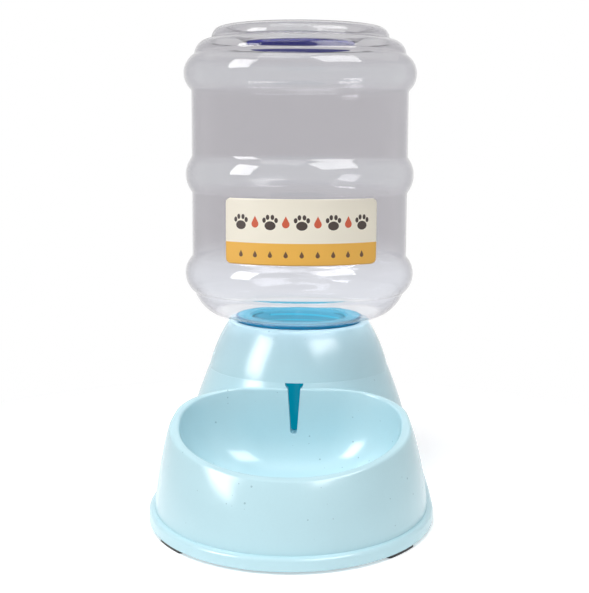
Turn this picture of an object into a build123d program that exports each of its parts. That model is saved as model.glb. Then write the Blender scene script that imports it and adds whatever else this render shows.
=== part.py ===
"""Gravity water dispenser for pets: a one-piece bowl and tower base on four rubber pads,
a collar on the tower, and an upside-down bottle whose cap carries a spring valve.

Millimetres, Z up, ground at Z 0. The origin is under the middle of the footprint. The bowl
faces -Y, and the bottle and tower share one vertical axis at Y = AXIS_Y.
"""

import os
from collections import namedtuple
from math import cos, pi, radians, sin

from build123d import *

os.makedirs("parts", exist_ok=True)

# Base
AXIS_Y = 57.0
WALL = 2.8
PAD_HEIGHT = 2.0
FLANGE_TOP = 10.0
FLANGE_EDGE = 2.6
SEAM_Z = 84.8
SEAM_RADIUS = 68.2
TOWER_TOP = 119.6
TOWER_TOP_RADIUS = 54.1

# Bowl rim: a flat oval tilted down towards the front, and how far its lip is from the axis
RIM_REACH = 187.0
RIM_FRONT_Z = 53.0
RIM_TILT = 13.5
RIM_ROUND = 2.4
MOUTH_ROUND = 1.6
RIM_THICKNESS = 3.2

# Sump inside the tower, and the post in it that opens the valve
SUMP_FLOOR_RADIUS = 60.5
SUMP_DRAFT = 3.2
SUMP_FLOOR = 40.0
POST_RADIUS = 5.0
POST_TOP = 57.0
POST_DRAFT = 2.0

# Outlet slot between the sump and the bowl
SLOT_BOTTOM = 48.8
SLOT_FLARE_Z = 81.0
SLOT_LOW_WIDTH = 4.8
SLOT_HIGH_WIDTH = 9.0
SLOT_FLARE_WIDTH = 13.0
SLOT_FLARE_ROUND = 4.0
SLOT_LIP = 0.5
SLOT_WALL = 3.0
SLOT_REAR = 50.0
SLOT_LENGTH = 30.0

# Ribs under the shell: upright ones round the sump, and a crossed set under the bowl
RIB = 2.0
RADIAL_RIBS = 8
RIB_FOOT = 16.0
RIB_START = 22.5
BOWL_RIBS = 3
BOWL_RIB_FOOT = 9.0
BOWL_RIB_GAP = 34.0
BOWL_RIB_Y = -64.0
BOWL_RIB_WIDTH = 150.0
BOWL_RIB_LENGTH = 118.0

# Rubber pads along the flange: middle of each outer edge from the axis, and where it faces
PAD_LENGTH = 28.0
PAD_WIDTH = 10.0
PAD_INSET = 0.6
PAD_ROUND = 2.0
PADS = {
    "pad_front_right": ((72.7, -168.5), -35.3),
    "pad_front_left": ((-72.7, -168.5), 215.3),
    "pad_rear_right": ((68.8, 68.8), 45.0),
    "pad_rear_left": ((-68.8, 68.8), 135.0),
}

# Collar: the upper cone of the tower, on the shell, with a spigot in the sump
COLLAR_WALL = 2.5
COLLAR_MIDDLE = (62.8, 100.8)
COLLAR_EDGE = 2.0
COLLAR_HOLE = 41.6
COLLAR_TOP_LEAN = (-0.35, 1)
SEAM_STEP = 0.2
SPIGOT_RADIUS = 62.2
SPIGOT_FOOT = 78.0
SPIGOT_SHOULDER = 5.0
SPIGOT_ROOT = 2.0

# Bottle cap: flange on the collar, threaded socket and guide skirt, with a funnel and nozzle in it
CAP_FLANGE_RADIUS = 48.0
CAP_FLANGE = 3.0
CAP_FLANGE_ROUND = 1.2
CAP_RADIUS = 40.0
CAP_WALL = 2.2
CAP_SOCKET = CAP_RADIUS - CAP_WALL
CAP_TOP = TOWER_TOP + CAP_FLANGE
GASKET_SEAT = 98.5
GASKET_BORE = 30.6
GASKET_THICKNESS = 2.5
GASKET_GAP = 0.4
CAGE_SEAT = 96.5
CAGE_RADIUS = 30.0
CAGE_GAP = 0.3
FUNNEL_HIGH_RADIUS = 26.8
FUNNEL_LOW_RADIUS = 20.0
SEAT_Z = 84.0
NOZZLE_BORE = 12.2
NOZZLE_MOUTH = 51.0
NOZZLE_NOTCH = 3.0
GUIDE_FOOT = 44.0
PORTS = 6
PORT_WIDTH = 14.0
PORT_TOP = 60.0

# Valve: the post holds the plunger this far above the seat
VALVE_LIFT = 5.0
SEAL_RADIUS = 15.5
SEAL_THICKNESS = 2.0
DISC_RADIUS = 14.6
DISC_THICKNESS = 2.6
STEM_RADIUS = 2.6
FIN = 1.6
FIN_RADIUS = 11.8
FIN_FOOT = 61.0
FIN_TOP = 79.0
FOOT_RADIUS = 6.5
FOOT_THICKNESS = 2.4
NECK_UNDER_SEAL = 5.0
PIN_SPARE = 1.5
PIN_TIP = 1.0
SEAL_BOTTOM = SEAT_Z + VALVE_LIFT
DISC_BOTTOM = SEAL_BOTTOM + SEAL_THICKNESS
DISC_TOP = DISC_BOTTOM + DISC_THICKNESS
HUB_BOTTOM = 104.5
HUB_THICKNESS = 2.5
HUB_RADIUS = 8.5
HUB_CLEARANCE = 0.4
PIN_TOP = HUB_BOTTOM + HUB_THICKNESS + VALVE_LIFT + PIN_SPARE
ARM_WIDTH = 4.0
ARM_THICKNESS = 2.0
ARMS = 3

# Valve spring, at rest between the plunger's disc and the cage's hub
SPRING_RADIUS = 5.6
SPRING_WIRE = 0.9
SPRING_TURNS = 5
COIL_SAMPLES = 40

# Bottle: outer radius and height along its profile
BOTTLE_WALL = 1.2
NECK_RADIUS = 36.0
NECK_END = GASKET_SEAT + GASKET_THICKNESS
SHOULDER_Z = CAP_TOP + 0.4
SHOULDER_FLAT = 52.0
SHOULDER_MIDDLE = (69.8, 129.6)
SHOULDER_TOP = (78.8, 142.4)
BODY_RADIUS = 80.5
LOW_BEAD = (143.6, 156.6, 169.2, 85.85)
MIDDLE_BEAD = (216.6, 229.8, 242.9, 85.1)
HIGH_BEAD = (291.4, 304.3, 317.6, 86.15)
STEP_FOOT = (78.3, 317.6)
STEP_MIDDLE = (76.0, 323.8)
STEP_TOP = (67.0, 328.3)
CROWN_FOOT = (65.6, 328.6)
CROWN_MIDDLE = (64.0, 334.2)
CROWN_TOP = (57.5, 337.4)
CROWN_INNER = (53.2, 337.2)
RECESS_EDGE = (49.0, 335.6)
RECESS_MIDDLE = (43.5, 330.6)
BASE_DISC_RADIUS = 40.0
BASE_DISC_TOP = 328.0
BASE_DISC = 3.0

# Label, wrapped on the straight part of the bottle
LABEL_LOW = 169.8
LABEL_HIGH = 215.6
LABEL_HALF_ANGLE = 40.8
LABEL_TURN = 3.8
LABEL_GAP = 0.05
LABEL_THICKNESS = 0.25
LABEL_CORNER = 4.0
LABEL_REACH = 90.0

# A level slice of the tower's collar or of the bottle is cut from a disc this wide
SLICE_RADIUS = 90.0

# A level section of the pan or of the bowl in it. Front, middle and back are distances from
# the tower axis: a half ellipse runs forward of the middle, and two corner arcs close the back.
# Half the width at the middle is followed by half the width at the corners.
Section = namedtuple("Section", "height half_width rear_half_width front middle back corner")

PAN = [
    Section(8.0, 93.2, 90.4, -206.8, -97.0, 92.8, 89.8),
    Section(25.0, 91.2, 88.6, -203.2, -100.0, 86.5, 86.0),
    Section(41.0, 88.1, 85.8, -197.8, -104.0, 56.0, 77.0),
    Section(53.0, 85.2, 83.4, -191.8, -109.0, 15.0, 68.0),
    Section(66.0, 81.2, 80.4, -185.5, -115.0, -36.0, 58.0),
    Section(78.0, 77.4, 77.2, -179.5, -119.0, -62.0, 52.0),
    Section(88.0, 75.0, 75.0, -174.0, -123.0, -78.0, 43.0),
]

BOWL = [
    Section(22.0, 36.0, 36.0, -156.0, -126.0, -90.0, 24.0),
    Section(29.0, 51.0, 51.0, -170.0, -124.0, -79.0, 34.0),
    Section(40.0, 63.0, 63.0, -181.0, -122.0, -73.6, 40.0),
    Section(53.0, 70.0, 70.0, -187.0, -121.0, -71.8, 43.0),
    Section(70.0, 74.0, 74.0, -191.0, -120.0, -71.0, 44.0),
    Section(92.0, 77.0, 77.0, -195.0, -119.0, -70.6, 45.0),
]

FLANGE = Section(PAD_HEIGHT, 97.0, 94.0, -211.0, -97.0, 97.0, 93.2)

# Where the corner arcs start, so that the sides run into them without a kink
CORNER_START = 4.0

# Tower: outer radius and height of the shell below the seam
TOWER_SKIRT = [(88.6, 8.0), (84.4, 35.0), (76.8, 62.0), (SEAM_RADIUS, SEAM_Z)]


def outline(section, inset=0.0, mode=Mode.ADD):
    """Closed level outline of a section, as a face in the sketch around it."""
    width = section.half_width - inset
    corner = section.corner - inset
    corner_x = section.rear_half_width - section.corner
    corner_y = AXIS_Y + section.back - section.corner
    middle = AXIS_Y + section.middle
    reach = section.middle - section.front - inset
    bend = radians(CORNER_START)
    ahead = (-sin(bend), cos(bend))
    side_end = (corner_x + corner * cos(bend), corner_y + corner * sin(bend))
    with BuildLine() as edge:
        EllipticalCenterArc((0, middle), width, reach, start_angle=180, arc_size=180)
        Spline((width, middle), side_end, tangents=[(0, 1), ahead])
        CenterArc((corner_x, corner_y), corner, CORNER_START, 90 - CORNER_START)
        Line((corner_x, corner_y + corner), (-corner_x, corner_y + corner))
        CenterArc((-corner_x, corner_y), corner, 90, 90 - CORNER_START)
        Spline(
            (-side_end[0], side_end[1]), (-width, middle), tangents=[(ahead[0], -ahead[1]), (0, -1)]
        )
    make_face(edge.edges(), mode=mode)


def lofted(sections, inset=0.0, drop=0.0):
    """Smooth solid through level sections. The lowest one may run straight down further."""
    levels = []
    for section in sections:
        with BuildSketch(Plane.XY.offset(section.height)) as level:
            outline(section, inset)
        levels.append(level.sketch)
    loft(sections=levels)
    if drop:
        extrude(to_extrude=levels[0].faces(), amount=drop, dir=(0, 0, -1))


def rim_plane(drop=0.0):
    """Plane of the tilted bowl rim, facing up, or one parallel below it."""
    tilt = radians(RIM_TILT)
    return Plane(
        origin=(0, AXIS_Y - RIM_REACH, RIM_FRONT_Z - drop),
        x_dir=(1, 0, 0),
        z_dir=(0, -sin(tilt), cos(tilt)),
    )


def on_rim(edge):
    """True for an edge that lies in the plane of the rim."""
    plane = rim_plane()
    gaps = [(edge @ share - plane.origin).dot(plane.z_dir) for share in (0.1, 0.5, 0.9)]
    return max(abs(gap) for gap in gaps) < 0.01


def on_cap_flange(edge):
    """True for the two outer edges of the cap's flange."""
    return abs(edge.radius - CAP_FLANGE_RADIUS) < 0.01


def tower_skirt(inset=0.0):
    """Half profile of the tower below the seam, for a revolve about the bottle axis."""
    points = [(radius - inset, height) for radius, height in TOWER_SKIRT]
    with BuildLine() as edge:
        Spline(*points)
        Polyline(points[-1], (0, SEAM_Z), (0, points[0][1]), points[0])
    make_face(edge.edges())


AXIS = Axis((0, AXIS_Y, 0), (0, 0, 1))
PROFILE = Plane(origin=(0, AXIS_Y, 0), x_dir=(1, 0, 0), z_dir=(0, -1, 0))

# Outside of the pan, cut off along the tilted rim
with BuildPart() as pan:
    lofted(PAN)
    split(bisect_by=rim_plane(), keep=Keep.BOTTOM)
    fillet(pan.faces().sort_by(Axis.Z)[-1].edges(), radius=RIM_ROUND)

# Space inside the bowl, and the same space with the bowl's wall round it
with BuildPart() as bowl_space:
    lofted(BOWL)

with BuildPart() as bowl_wall:
    lofted(BOWL, inset=-WALL, drop=WALL)

# Water space of the sump, and the cup round it
with BuildPart() as sump_space:
    with BuildSketch(Plane.XY.offset(SUMP_FLOOR)):
        with Locations((0, AXIS_Y)):
            Circle(SUMP_FLOOR_RADIUS)
    extrude(amount=SEAM_Z, taper=-SUMP_DRAFT)

with BuildPart() as sump_cup:
    with BuildSketch(Plane.XY.offset(SUMP_FLOOR - WALL)):
        with Locations((0, AXIS_Y)):
            Circle(SUMP_FLOOR_RADIUS + WALL)
    extrude(amount=SEAM_Z, taper=-SUMP_DRAFT)

# Hollow under the base, open below. The ribs and the seats of the pads stay standing in it.
with BuildPart() as hollow:
    lofted(PAN, inset=WALL, drop=FLANGE_TOP)
    split(bisect_by=rim_plane(RIM_THICKNESS), keep=Keep.BOTTOM)
    with BuildSketch(PROFILE):
        tower_skirt(inset=WALL)
    revolve(axis=AXIS)
    with BuildSketch():
        outline(FLANGE, inset=WALL)
    extrude(amount=FLANGE_TOP - WALL)
    add(bowl_wall.part, mode=Mode.SUBTRACT)
    add(sump_cup.part, mode=Mode.SUBTRACT)
    with BuildSketch(Plane.XY.offset(SLOT_BOTTOM - SLOT_WALL)):
        with Locations((0, AXIS_Y - SUMP_FLOOR_RADIUS)):
            Rectangle(SLOT_FLARE_WIDTH + 2 * SLOT_WALL, 10 * SLOT_WALL)
    extrude(amount=SEAM_Z, mode=Mode.SUBTRACT)
    with BuildSketch(Plane.XY.offset(RIB_FOOT)):
        with Locations((0, AXIS_Y)):
            with PolarLocations(TOWER_SKIRT[0][0] / 2, RADIAL_RIBS, start_angle=RIB_START):
                Rectangle(TOWER_SKIRT[0][0], RIB)
    extrude(amount=SEAM_Z, mode=Mode.SUBTRACT)
    with BuildSketch(Plane.XY.offset(BOWL_RIB_FOOT)):
        with Locations((0, BOWL_RIB_Y)):
            with GridLocations(BOWL_RIB_GAP, 0, BOWL_RIBS, 1):
                Rectangle(RIB, BOWL_RIB_LENGTH)
            with GridLocations(0, BOWL_RIB_GAP, 1, BOWL_RIBS):
                Rectangle(BOWL_RIB_WIDTH, RIB)
    extrude(amount=BOWL[0].height, mode=Mode.SUBTRACT)
    with BuildSketch():
        for place, turn in PADS.values():
            with Locations(Location((place[0], AXIS_Y + place[1], 0), (0, 0, turn))):
                Rectangle(2 * (PAD_WIDTH + RIB), PAD_LENGTH + RIB)
    extrude(amount=FLANGE_TOP, mode=Mode.SUBTRACT)

# Bowl, tower skirt, sump and flange, moulded as one shell
with BuildPart() as base_shell:
    with BuildSketch(Plane.XY.offset(PAD_HEIGHT)):
        outline(FLANGE)
    extrude(amount=FLANGE_TOP - PAD_HEIGHT)
    fillet(base_shell.faces().sort_by(Axis.Z)[-1].edges(), radius=FLANGE_EDGE)
    add(pan.part)
    with BuildSketch(PROFILE):
        tower_skirt()
    revolve(axis=AXIS)
    add(bowl_space.part, mode=Mode.SUBTRACT)
    fillet(base_shell.edges(Select.LAST).filter_by(on_rim), radius=MOUTH_ROUND)
    add(hollow.part, mode=Mode.SUBTRACT)
    add(sump_space.part, mode=Mode.SUBTRACT)
    with BuildSketch(PROFILE.offset(SLOT_REAR)):
        with BuildLine() as slot:
            foot = SLOT_BOTTOM + SLOT_LOW_WIDTH / 2
            low = (SLOT_LOW_WIDTH / 2, foot)
            high = (SLOT_HIGH_WIDTH / 2, SLOT_FLARE_Z)
            flare = (SLOT_FLARE_WIDTH / 2, SEAM_Z - SLOT_LIP)
            CenterArc((0, foot), SLOT_LOW_WIDTH / 2, 180, 180)
            Line(low, high)
            RadiusArc(high, flare, -SLOT_FLARE_ROUND)
            Polyline(flare, (flare[0], SEAM_Z + SLOT_LIP), (0, SEAM_Z + SLOT_LIP))
            mirror(about=Plane.YZ)
        make_face(slot.edges())
    extrude(amount=SLOT_LENGTH, mode=Mode.SUBTRACT)
    with BuildSketch(Plane.XY.offset(SUMP_FLOOR)):
        with Locations((0, AXIS_Y)):
            Circle(POST_RADIUS)
    extrude(amount=POST_TOP - SUMP_FLOOR, taper=POST_DRAFT)

base_shell.part.label = "base_shell"
export_step(base_shell.part, "parts/base_shell.step")

for name, (place, turn) in PADS.items():
    with BuildPart() as pad:
        with BuildSketch():
            outline(FLANGE, inset=PAD_INSET)
            outline(FLANGE, inset=PAD_INSET + PAD_WIDTH, mode=Mode.SUBTRACT)
            with Locations(Location((place[0], AXIS_Y + place[1], 0), (0, 0, turn))):
                Rectangle(4 * PAD_WIDTH, PAD_LENGTH, mode=Mode.INTERSECT)
        extrude(amount=PAD_HEIGHT)
        fillet(pad.edges().filter_by(Axis.Z), radius=PAD_ROUND)
    pad.part.label = name
    export_step(pad.part, f"parts/{name}.step")


def export_slice(moulding, name, low, high):
    """Cut a moulding round the tower's axis between two heights, and export that slice."""
    with BuildPart() as piece:
        with BuildSketch(Plane.XY.offset(low)):
            with Locations((0, AXIS_Y)):
                Circle(SLICE_RADIUS)
        extrude(amount=high - low)
        add(moulding.part, mode=Mode.INTERSECT)
    piece.part.label = name
    export_step(piece.part, f"parts/{name}.step")


with BuildPart() as collar:
    with BuildSketch(PROFILE):
        with BuildLine() as wall:
            foot = (SEAM_RADIUS - SEAM_STEP, SEAM_Z)
            edge = (TOWER_TOP_RADIUS, TOWER_TOP - COLLAR_EDGE)
            inner_top = (TOWER_TOP_RADIUS - COLLAR_WALL, TOWER_TOP - COLLAR_WALL)
            inner_foot = (SPIGOT_RADIUS, SEAM_Z + SPIGOT_SHOULDER)
            inner_middle = (COLLAR_MIDDLE[0] - COLLAR_WALL, COLLAR_MIDDLE[1] - COLLAR_WALL / 2)
            ThreePointArc(foot, COLLAR_MIDDLE, edge)
            TangentArc(edge, (TOWER_TOP_RADIUS - COLLAR_EDGE, TOWER_TOP), tangent=COLLAR_TOP_LEAN)
            Polyline(
                (TOWER_TOP_RADIUS - COLLAR_EDGE, TOWER_TOP),
                (COLLAR_HOLE, TOWER_TOP),
                (COLLAR_HOLE, inner_top[1]),
                inner_top,
            )
            ThreePointArc(inner_top, inner_middle, inner_foot)
            Polyline(
                inner_foot,
                (SPIGOT_RADIUS - COLLAR_WALL, SEAM_Z + SPIGOT_ROOT),
                (SPIGOT_RADIUS - COLLAR_WALL, SPIGOT_FOOT),
                (SPIGOT_RADIUS, SPIGOT_FOOT),
                (SPIGOT_RADIUS, SEAM_Z),
                foot,
            )
        make_face(wall.edges())
    revolve(axis=AXIS)
    with BuildSketch(Plane.XY.offset(SPIGOT_FOOT)):
        with Locations((0, AXIS_Y - SPIGOT_RADIUS)):
            Rectangle(SLOT_FLARE_WIDTH + 2 * SLOT_WALL, 4 * SLOT_WALL)
    extrude(amount=SEAM_Z - SPIGOT_FOOT, mode=Mode.SUBTRACT)

# The collar is one moulding, cut level with the underside of its top into cone and flat ring
export_slice(collar, "tower_collar", SPIGOT_FOOT, TOWER_TOP - COLLAR_WALL)
export_slice(collar, "collar_top", TOWER_TOP - COLLAR_WALL, TOWER_TOP)

with BuildPart() as bottle_cap:
    with BuildSketch(PROFILE):
        with BuildLine() as wall:
            Polyline(
                (CAP_RADIUS, TOWER_TOP),
                (CAP_FLANGE_RADIUS, TOWER_TOP),
                (CAP_FLANGE_RADIUS, CAP_TOP),
                (CAP_SOCKET, CAP_TOP),
                (CAP_SOCKET, GUIDE_FOOT),
                (CAP_RADIUS, GUIDE_FOOT),
                close=True,
            )
        make_face(wall.edges())
    revolve(axis=AXIS)
    fillet(bottle_cap.edges().filter_by(GeomType.CIRCLE).filter_by(on_cap_flange), radius=CAP_FLANGE_ROUND)
    with BuildSketch(PROFILE):
        with BuildLine() as port:
            Polyline(
                (-PORT_WIDTH / 2, PORT_TOP - PORT_WIDTH / 2),
                (-PORT_WIDTH / 2, GUIDE_FOOT - CAP_WALL),
                (PORT_WIDTH / 2, GUIDE_FOOT - CAP_WALL),
                (PORT_WIDTH / 2, PORT_TOP - PORT_WIDTH / 2),
            )
            CenterArc((0, PORT_TOP - PORT_WIDTH / 2), PORT_WIDTH / 2, 0, 180)
        make_face(port.edges())
    port_cut = extrude(amount=CAP_RADIUS + CAP_WALL, mode=Mode.PRIVATE)
    bore = Cylinder(CAP_RADIUS - 2 * CAP_WALL, 4 * PORT_TOP, mode=Mode.PRIVATE)
    port_cut = port_cut - Pos(0, AXIS_Y, 0) * bore
    for step in range(PORTS):
        turned = port_cut.rotate(AXIS, 360 / PORTS * (step + 0.5))
        add(turned, mode=Mode.SUBTRACT)
bottle_cap.part.label = "bottle_cap"
export_step(bottle_cap.part, "parts/bottle_cap.step")

# Inside of the cap's moulding: ledge for the gasket and cage, funnel to the valve's seat, nozzle
with BuildPart() as cap_funnel:
    with BuildSketch(PROFILE):
        with BuildLine() as wall:
            Polyline(
                (CAP_SOCKET, GASKET_SEAT),
                (CAGE_RADIUS, GASKET_SEAT),
                (CAGE_RADIUS, CAGE_SEAT),
                (FUNNEL_HIGH_RADIUS, CAGE_SEAT),
                (FUNNEL_LOW_RADIUS, SEAT_Z),
                (NOZZLE_BORE, SEAT_Z),
                (NOZZLE_BORE, NOZZLE_MOUTH),
                (NOZZLE_BORE + CAP_WALL, NOZZLE_MOUTH),
                (NOZZLE_BORE + CAP_WALL, SEAT_Z - CAP_WALL),
                (FUNNEL_LOW_RADIUS + CAP_WALL / 2, SEAT_Z - CAP_WALL),
                (FUNNEL_HIGH_RADIUS + CAP_WALL, CAGE_SEAT - CAP_WALL),
                (CAP_SOCKET, CAGE_SEAT - CAP_WALL),
                close=True,
            )
        make_face(wall.edges())
    revolve(axis=AXIS)
    with BuildSketch(Plane.XY.offset(NOZZLE_MOUTH)):
        with Locations((0, AXIS_Y)):
            Rectangle(2 * NOZZLE_BORE + 3 * CAP_WALL, NOZZLE_NOTCH)
            Rectangle(NOZZLE_NOTCH, 2 * NOZZLE_BORE + 3 * CAP_WALL)
    extrude(amount=NOZZLE_NOTCH, mode=Mode.SUBTRACT)
cap_funnel.part.label = "cap_funnel"
export_step(cap_funnel.part, "parts/cap_funnel.step")

with BuildPart() as cap_gasket:
    with BuildSketch(Plane.XY.offset(GASKET_SEAT)):
        with Locations((0, AXIS_Y)):
            Circle(CAP_SOCKET - GASKET_GAP)
            Circle(GASKET_BORE, mode=Mode.SUBTRACT)
    extrude(amount=GASKET_THICKNESS)
cap_gasket.part.label = "cap_gasket"
export_step(cap_gasket.part, "parts/cap_gasket.step")

with BuildPart() as spring_cage:
    with BuildSketch(PROFILE):
        with BuildLine() as arm:
            Polyline(
                (CAGE_RADIUS - CAGE_GAP, CAGE_SEAT),
                (CAGE_RADIUS - CAGE_GAP, CAGE_SEAT + ARM_THICKNESS),
                (HUB_RADIUS, HUB_BOTTOM + HUB_THICKNESS),
                (HUB_RADIUS, HUB_BOTTOM),
                (FUNNEL_HIGH_RADIUS + CAGE_GAP, CAGE_SEAT),
                close=True,
            )
        make_face(arm.edges())
    revolve(axis=AXIS)
    with BuildSketch(Plane.XY.offset(CAGE_SEAT)):
        with Locations((0, AXIS_Y)):
            with PolarLocations(CAGE_RADIUS / 2, ARMS, start_angle=90):
                Rectangle(CAGE_RADIUS, ARM_WIDTH)
    extrude(amount=HUB_BOTTOM, mode=Mode.INTERSECT)
    with BuildSketch(Plane.XY.offset(CAGE_SEAT)):
        with Locations((0, AXIS_Y)):
            Circle(CAGE_RADIUS - CAGE_GAP)
            Circle(FUNNEL_HIGH_RADIUS + CAGE_GAP, mode=Mode.SUBTRACT)
    extrude(amount=ARM_THICKNESS)
    with BuildSketch(Plane.XY.offset(HUB_BOTTOM)):
        with Locations((0, AXIS_Y)):
            Circle(HUB_RADIUS)
    extrude(amount=HUB_THICKNESS)
    with BuildSketch(Plane.XY.offset(CAGE_SEAT)):
        with Locations((0, AXIS_Y)):
            Circle(STEM_RADIUS + HUB_CLEARANCE)
    extrude(amount=HUB_BOTTOM, mode=Mode.SUBTRACT)
spring_cage.part.label = "spring_cage"
export_step(spring_cage.part, "parts/spring_cage.step")

with BuildPart() as valve_plunger:
    with BuildSketch(Plane.XY.offset(POST_TOP)):
        with Locations((0, AXIS_Y)):
            Circle(STEM_RADIUS)
    extrude(amount=PIN_TOP - POST_TOP)
    chamfer(valve_plunger.faces().sort_by(Axis.Z)[-1].edges(), length=PIN_TIP)
    with BuildSketch(Plane.XY.offset(POST_TOP)):
        with Locations((0, AXIS_Y)):
            Circle(FOOT_RADIUS)
    extrude(amount=FOOT_THICKNESS)
    with BuildSketch(Plane.XY.offset(FIN_FOOT)):
        with Locations((0, AXIS_Y)):
            Rectangle(2 * FIN_RADIUS, FIN)
            Rectangle(FIN, 2 * FIN_RADIUS)
    extrude(amount=FIN_TOP - FIN_FOOT)
    with BuildSketch(Plane.XY.offset(DISC_BOTTOM)):
        with Locations((0, AXIS_Y)):
            Circle(DISC_RADIUS)
    extrude(amount=DISC_THICKNESS)
    with BuildSketch(Plane.XY.offset(SEAL_BOTTOM - FOOT_THICKNESS)):
        with Locations((0, AXIS_Y)):
            Circle(NECK_UNDER_SEAL)
    extrude(amount=FOOT_THICKNESS)
valve_plunger.part.label = "valve_plunger"
export_step(valve_plunger.part, "parts/valve_plunger.step")

with BuildPart() as valve_seal:
    with BuildSketch(Plane.XY.offset(SEAL_BOTTOM)):
        with Locations((0, AXIS_Y)):
            Circle(SEAL_RADIUS)
            Circle(STEM_RADIUS, mode=Mode.SUBTRACT)
    extrude(amount=SEAL_THICKNESS)
valve_seal.part.label = "valve_seal"
export_step(valve_seal.part, "parts/valve_seal.step")


def biarc(start, heading, end, arrival):
    """Two arcs that join start to end, tangent to both headings and to each other."""
    span = end - start
    both = heading + arrival
    bend = 2 * (1 - heading.dot(arrival))
    along = span.dot(both)
    reach = (-along + (along * along + bend * span.dot(span)) ** 0.5) / bend
    joint = (start + heading * reach + end - arrival * reach) / 2
    middle = (end - arrival * reach - start - heading * reach).normalized()
    TangentArc(start, joint, tangent=heading)
    TangentArc(joint, end, tangent=middle)


def coil_point(turns):
    """Centre of the wire after so many turns, and its heading there."""
    pitch = (HUB_BOTTOM - DISC_TOP - SPRING_WIRE) / SPRING_TURNS
    angle = 2 * pi * turns
    low = DISC_TOP + SPRING_WIRE / 2
    place = Vector(
        SPRING_RADIUS * cos(angle), AXIS_Y + SPRING_RADIUS * sin(angle), low + pitch * turns
    )
    heading = Vector(-sin(angle), cos(angle), pitch / (2 * pi * SPRING_RADIUS)).normalized()
    return place, heading


with BuildPart() as valve_spring:
    with BuildLine() as coil:
        for half_turn in range(2 * SPRING_TURNS):
            biarc(*coil_point(half_turn / 2), *coil_point((half_turn + 1) / 2))
    first, heading = coil_point(0)
    with BuildSketch(Plane(origin=first, z_dir=heading)):
        Circle(SPRING_WIRE / 2)
    sweep(path=coil.wires()[0])
valve_spring.part.label = "valve_spring"
export_step(valve_spring.part, "parts/valve_spring.step")

samples = [coil_point(step / COIL_SAMPLES)[0] for step in range(COIL_SAMPLES * SPRING_TURNS + 1)]
gaps = [
    (samples[one] - samples[two]).length
    for one in range(len(samples))
    for two in range(one + COIL_SAMPLES // 2, len(samples))
]
print(f"spring's least gap to itself {min(gaps) - SPRING_WIRE:.2f} mm")

with BuildPart() as bottle_neck_tube:
    with BuildSketch(Plane.XY.offset(NECK_END)):
        with Locations((0, AXIS_Y)):
            Circle(NECK_RADIUS)
            Circle(NECK_RADIUS - BOTTLE_WALL, mode=Mode.SUBTRACT)
    extrude(amount=SHOULDER_Z - NECK_END)
bottle_neck_tube.part.label = "bottle_neck_tube"
export_step(bottle_neck_tube.part, "parts/bottle_neck_tube.step")

# Bottle above the plane of its shoulder, where the neck's tube ends
with BuildPart() as bottle_shell:
    with BuildSketch(PROFILE):
        with BuildLine() as half:
            Line((0, SHOULDER_Z), (SHOULDER_FLAT, SHOULDER_Z))
            ThreePointArc((SHOULDER_FLAT, SHOULDER_Z), SHOULDER_MIDDLE, SHOULDER_TOP)
            last = SHOULDER_TOP
            for low, widest, high, radius in (LOW_BEAD, MIDDLE_BEAD, HIGH_BEAD):
                Line(last, (BODY_RADIUS, low))
                last = (BODY_RADIUS, high)
                if high == STEP_FOOT[1]:
                    last = STEP_FOOT
                ThreePointArc((BODY_RADIUS, low), (radius, widest), last)
            ThreePointArc(STEP_FOOT, STEP_MIDDLE, STEP_TOP)
            Line(STEP_TOP, CROWN_FOOT)
            ThreePointArc(CROWN_FOOT, CROWN_MIDDLE, CROWN_TOP)
            ThreePointArc(CROWN_TOP, CROWN_INNER, RECESS_EDGE)
            ThreePointArc(RECESS_EDGE, RECESS_MIDDLE, (BASE_DISC_RADIUS, BASE_DISC_TOP))
            Line((BASE_DISC_RADIUS, BASE_DISC_TOP), (0, BASE_DISC_TOP))
            mirror(about=Plane.YZ)
        make_face(half.edges())
        offset(amount=-BOTTLE_WALL, mode=Mode.SUBTRACT)
        with Locations((0, SHOULDER_Z)):
            Rectangle(2 * (NECK_RADIUS - BOTTLE_WALL), 4 * BOTTLE_WALL, mode=Mode.SUBTRACT)
        with Locations((0, BASE_DISC_TOP - BASE_DISC / 2)):
            Rectangle(2 * BASE_DISC_RADIUS, BASE_DISC)
        with Locations((-BODY_RADIUS, SHOULDER_Z)):
            Rectangle(2 * BODY_RADIUS, 2 * CROWN_TOP[1], mode=Mode.SUBTRACT)
    revolve(axis=AXIS)

# The bottle is one moulding, cut level with the ends of its beaded side
export_slice(bottle_shell, "bottle_shoulder", SHOULDER_Z, SHOULDER_TOP[1])
export_slice(bottle_shell, "bottle", SHOULDER_TOP[1], STEP_FOOT[1])
export_slice(bottle_shell, "bottle_crown", STEP_FOOT[1], CROWN_TOP[1] + BOTTLE_WALL)

with BuildPart() as label:
    with BuildSketch(Plane.XY.offset(LABEL_LOW)):
        with Locations((0, AXIS_Y)):
            Circle(BODY_RADIUS + LABEL_GAP + LABEL_THICKNESS)
            Circle(BODY_RADIUS + LABEL_GAP, mode=Mode.SUBTRACT)
    extrude(amount=LABEL_HIGH - LABEL_LOW)
    turn = radians(LABEL_TURN)
    facing = Plane(
        origin=(0, AXIS_Y, (LABEL_LOW + LABEL_HIGH) / 2),
        x_dir=(cos(turn), sin(turn), 0),
        z_dir=(sin(turn), -cos(turn), 0),
    )
    with BuildSketch(facing):
        chord = 2 * BODY_RADIUS * sin(radians(LABEL_HALF_ANGLE))
        RectangleRounded(chord, LABEL_HIGH - LABEL_LOW, LABEL_CORNER)
    extrude(amount=LABEL_REACH, mode=Mode.INTERSECT)
label.part.label = "label"
export_step(label.part, "parts/label.step")
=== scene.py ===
from math import cos, hypot, pi, radians, sin

import bmesh
import bpy
import numpy as np
from mathutils import Matrix, Vector


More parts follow.
